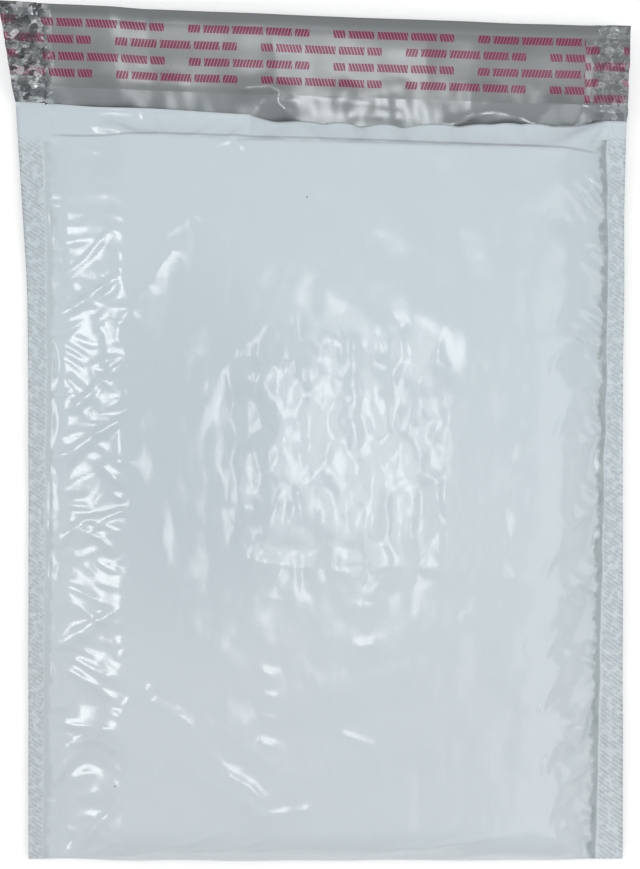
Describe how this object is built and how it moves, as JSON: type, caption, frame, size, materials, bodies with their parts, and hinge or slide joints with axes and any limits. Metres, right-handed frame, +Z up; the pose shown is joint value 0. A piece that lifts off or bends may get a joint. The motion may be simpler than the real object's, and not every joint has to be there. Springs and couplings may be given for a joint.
{
  "type": "padded envelope",
  "caption": "White poly film mailing envelope lined with bubble sheet, welded up its sides, lying open with a grey flap that carries a printed peel-off liner over its adhesive.",
  "frame": {"origin": "centre of the bounding box at the level of the back panel's underside", "axes": "+X across the envelope, +Y from the bottom fold to the flap's free edge, +Z up out of the front panel"},
  "size_m": [0.224, 0.305, 0.0166],
  "materials": {
    "poly_film": "glossy blown film, white outside and grey inside",
    "bubble_sheet": "clear glossy bubble film",
    "adhesive": "tacky hot-melt, pale cream",
    "peel_liner": "thin slick film, printed in dark pink"
  },
  "bodies": {
    "root": {"outer_film": "poly_film", "bubble_lining": "bubble_sheet", "adhesive_strip": "adhesive", "release_liner": "peel_liner"}
  },
  "joints": []
}
